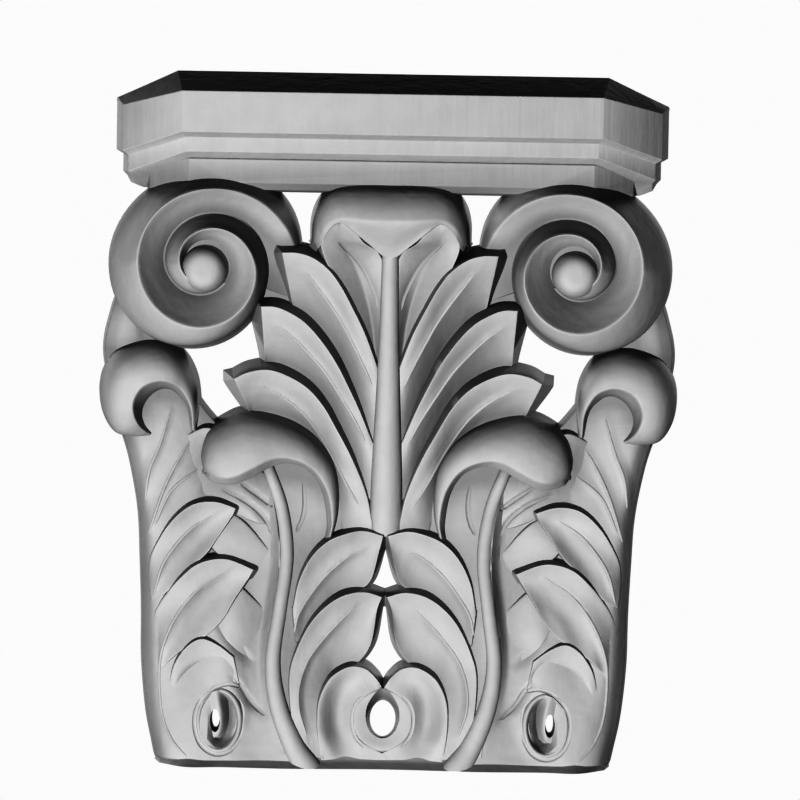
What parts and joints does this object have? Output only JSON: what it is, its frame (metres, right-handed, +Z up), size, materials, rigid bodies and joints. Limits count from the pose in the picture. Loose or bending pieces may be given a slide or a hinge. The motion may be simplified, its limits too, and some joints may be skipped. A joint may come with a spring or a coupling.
{
  "type": "carved pilaster capital",
  "caption": "Relief pilaster capital with a moulded abacus, two volutes and pierced acanthus leaves, cast in one piece with a flat back.",
  "frame": {"origin": "centre of the box's underside: middle of the width and of the depth, at the flat foot", "axes": "+Z up; the carved front faces -Y and the flat back faces +Y; +X is to the right when facing the carving"},
  "size_m": [0.2912, 0.052, 0.3478],
  "materials": {
    "plaster": "matt light grey cast plaster with faint tool marks"
  },
  "bodies": {
    "root": {"capital": "plaster"}
  },
  "joints": []
}
